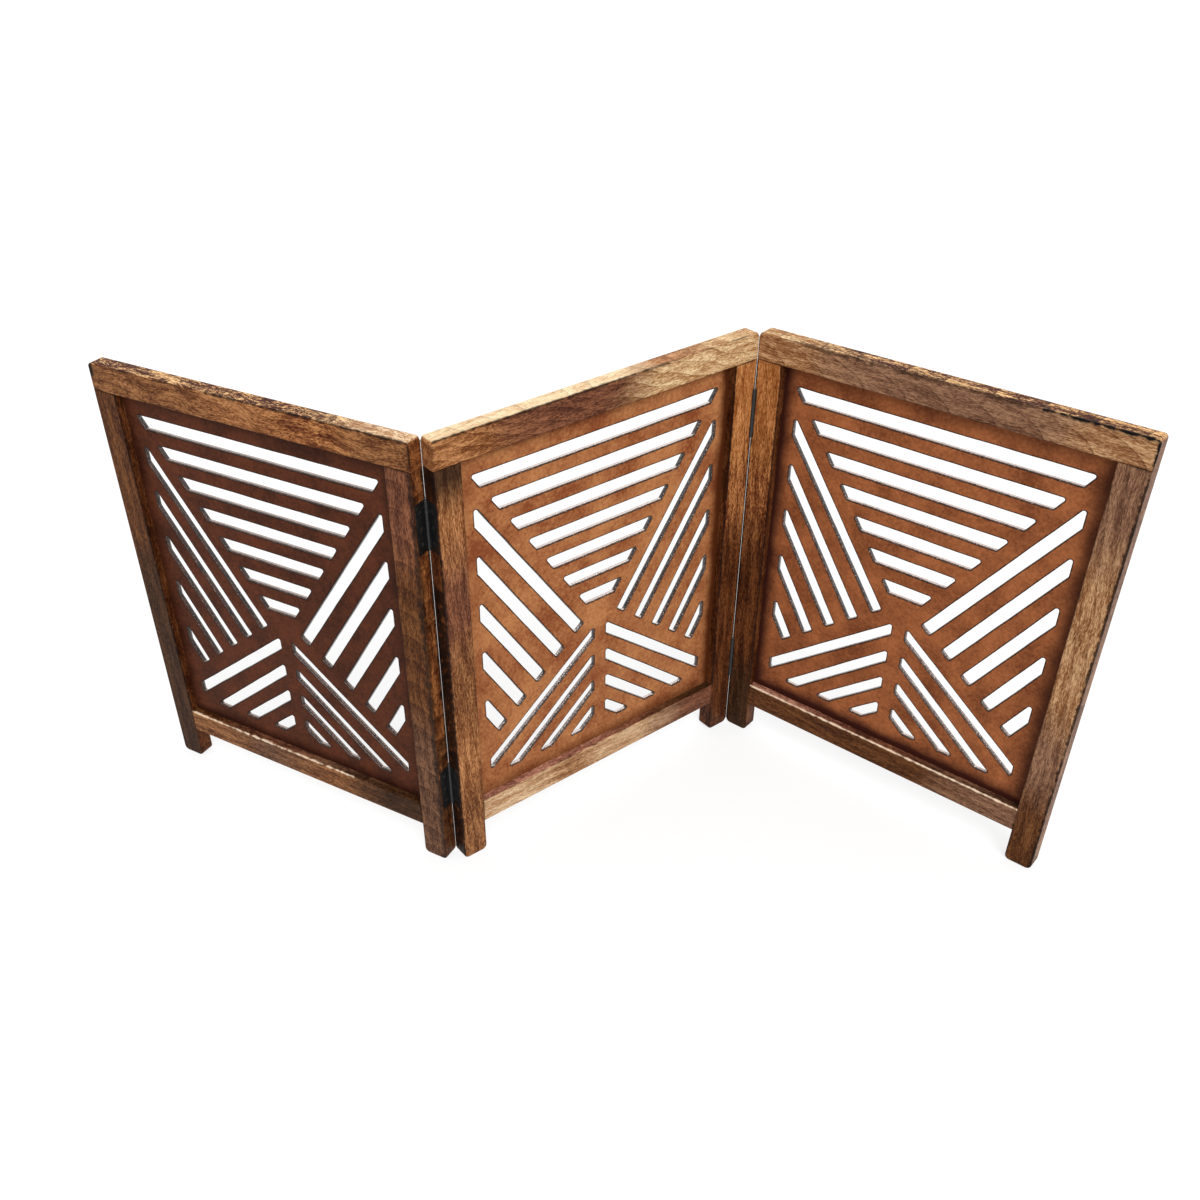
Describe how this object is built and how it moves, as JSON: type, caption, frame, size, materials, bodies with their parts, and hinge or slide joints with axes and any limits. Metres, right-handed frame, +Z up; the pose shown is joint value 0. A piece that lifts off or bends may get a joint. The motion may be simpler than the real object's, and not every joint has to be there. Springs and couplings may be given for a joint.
{
  "type": "folding jali screen",
  "caption": "Low folding wooden screen of framed fretwork panels on butt hinges, each sheet cut with a fan of straight slots, standing in a zigzag",
  "frame": {"origin": "on the floor, under the middle of the whole folded screen's box", "axes": "+Z up; +X along the folded zigzag from the left panel to the right one; -Y is the side that faces the viewer, where the jali sheets lie behind the frame's front faces"},
  "size_m": [1.1692, 0.3424, 0.61],
  "materials": {
    "frame_wood": "stained mango wood, glossy lacquer, scorched arrises",
    "jali_board": "stained and lacquered fibreboard, scorched cut edges",
    "bead_wood": "stained wood, satin",
    "dowel_wood": "bare beech",
    "hinge_black": "black painted steel, worn",
    "hinge_pin_steel": "drawn steel wire, dull",
    "screw_steel": "blackened steel, worn",
    "brad_steel": "bright steel wire"
  },
  "bodies": {
    "middle_panel": {"left_joint_lower_middle_leaf": "hinge_black", "left_joint_lower_pin": "hinge_pin_steel", "left_joint_upper_middle_leaf": "hinge_black", "left_joint_upper_pin": "hinge_pin_steel", "middle_panel_bead_brads": "brad_steel", "middle_panel_bottom_bead": "bead_wood", "middle_panel_bottom_rail": "frame_wood", "middle_panel_dowels": "dowel_wood", "middle_panel_hinge_screws": "screw_steel", "middle_panel_jali": "jali_board", "middle_panel_left_bead": "bead_wood", "middle_panel_left_stile": "frame_wood", "middle_panel_right_bead": "bead_wood", "middle_panel_right_stile": "frame_wood", "middle_panel_top_bead": "bead_wood", "middle_panel_top_rail": "frame_wood", "right_joint_lower_middle_leaf": "hinge_black", "right_joint_lower_pin": "hinge_pin_steel", "right_joint_upper_middle_leaf": "hinge_black", "right_joint_upper_pin": "hinge_pin_steel"},
    "left_panel": {"left_joint_lower_left_leaf": "hinge_black", "left_joint_upper_left_leaf": "hinge_black", "left_panel_bead_brads": "brad_steel", "left_panel_bottom_bead": "bead_wood", "left_panel_bottom_rail": "frame_wood", "left_panel_dowels": "dowel_wood", "left_panel_hinge_screws": "screw_steel", "left_panel_jali": "jali_board", "left_panel_left_bead": "bead_wood", "left_panel_left_stile": "frame_wood", "left_panel_right_bead": "bead_wood", "left_panel_right_stile": "frame_wood", "left_panel_top_bead": "bead_wood", "left_panel_top_rail": "frame_wood"},
    "right_panel": {"right_joint_lower_right_leaf": "hinge_black", "right_joint_upper_right_leaf": "hinge_black", "right_panel_bead_brads": "brad_steel", "right_panel_bottom_bead": "bead_wood", "right_panel_bottom_rail": "frame_wood", "right_panel_dowels": "dowel_wood", "right_panel_hinge_screws": "screw_steel", "right_panel_jali": "jali_board", "right_panel_left_bead": "bead_wood", "right_panel_left_stile": "frame_wood", "right_panel_right_bead": "bead_wood", "right_panel_right_stile": "frame_wood", "right_panel_top_bead": "bead_wood", "right_panel_top_rail": "frame_wood"}
  },
  "joints": [
    {"name": "left_fold", "type": "hinge", "parent": "middle_panel", "child": "left_panel", "pos_m": [-0.17356, -0.09551, 0.305], "axis": [0, 0, -1], "range_deg": [-66.6, 113.4]},
    {"name": "right_fold", "type": "hinge", "parent": "middle_panel", "child": "right_panel", "pos_m": [0.22817, 0.15365, 0.305], "axis": [0, 0, -1], "range_deg": [-78.1, 101.9]}
  ]
}
